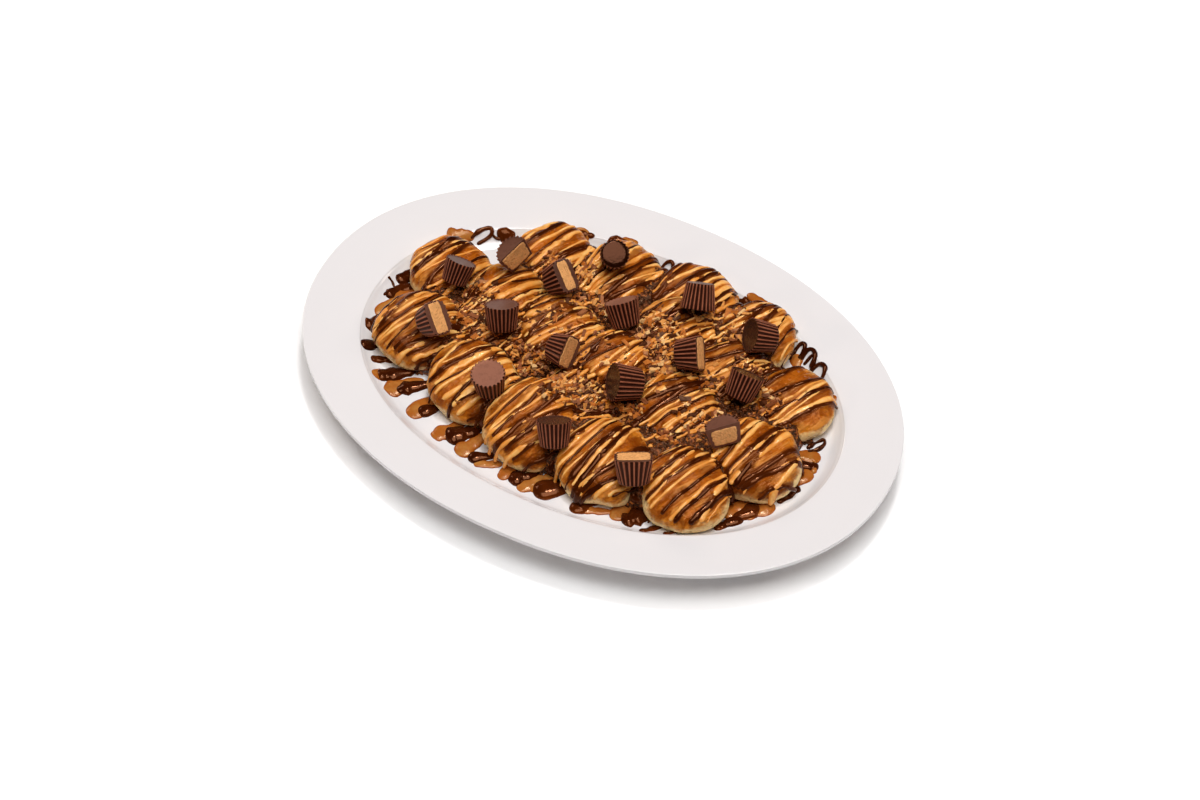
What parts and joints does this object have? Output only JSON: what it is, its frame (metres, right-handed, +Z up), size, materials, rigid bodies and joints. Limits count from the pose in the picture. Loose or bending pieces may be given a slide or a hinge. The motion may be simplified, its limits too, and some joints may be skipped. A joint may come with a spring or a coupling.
{
  "type": "mini pancake platter",
  "caption": "Oval white rimmed platter of overlapping mini pancakes with drizzled chocolate and nut sauces, strewn with whole and cut fluted chocolate cups.",
  "frame": {"origin": "middle of the foot ring, on the surface that the platter stands on", "axes": "+X along the platter's long axis, +Z up, and the side nearest the viewer of the picture towards -Y"},
  "size_m": [0.318, 0.22, 0.0506],
  "materials": {
    "platter_glaze": "gloss",
    "browned_batter": "satin",
    "cup_chocolate": "satin",
    "nut_filling": "matte",
    "chocolate_sauce": "gloss",
    "nut_sauce": "gloss"
  },
  "bodies": {
    "root": {"platter": "platter_glaze", "pancake_01": "browned_batter", "pancake_02": "browned_batter", "pancake_03": "browned_batter", "pancake_04": "browned_batter", "pancake_05": "browned_batter", "pancake_06": "browned_batter", "pancake_07": "browned_batter", "pancake_08": "browned_batter", "pancake_09": "browned_batter", "pancake_10": "browned_batter", "pancake_11": "browned_batter", "pancake_12": "browned_batter", "pancake_13": "browned_batter", "pancake_14": "browned_batter", "pancake_15": "browned_batter", "pancake_16": "browned_batter", "pancake_17": "browned_batter", "pancake_18": "browned_batter", "pancake_19": "browned_batter", "pancake_20": "browned_batter", "cup_01": "cup_chocolate", "cup_02": "cup_chocolate", "cup_03": "cup_chocolate", "cup_04": "cup_chocolate", "cup_05": "cup_chocolate", "cup_06": "cup_chocolate", "cup_07": "cup_chocolate", "cup_08": "cup_chocolate", "cup_09": "cup_chocolate", "cup_10": "cup_chocolate", "cup_11": "cup_chocolate", "cup_12": "cup_chocolate", "cup_13": "cup_chocolate", "cup_14": "cup_chocolate", "cup_15": "cup_chocolate", "cup_16": "cup_chocolate", "cup_17": "cup_chocolate"}
  },
  "joints": []
}
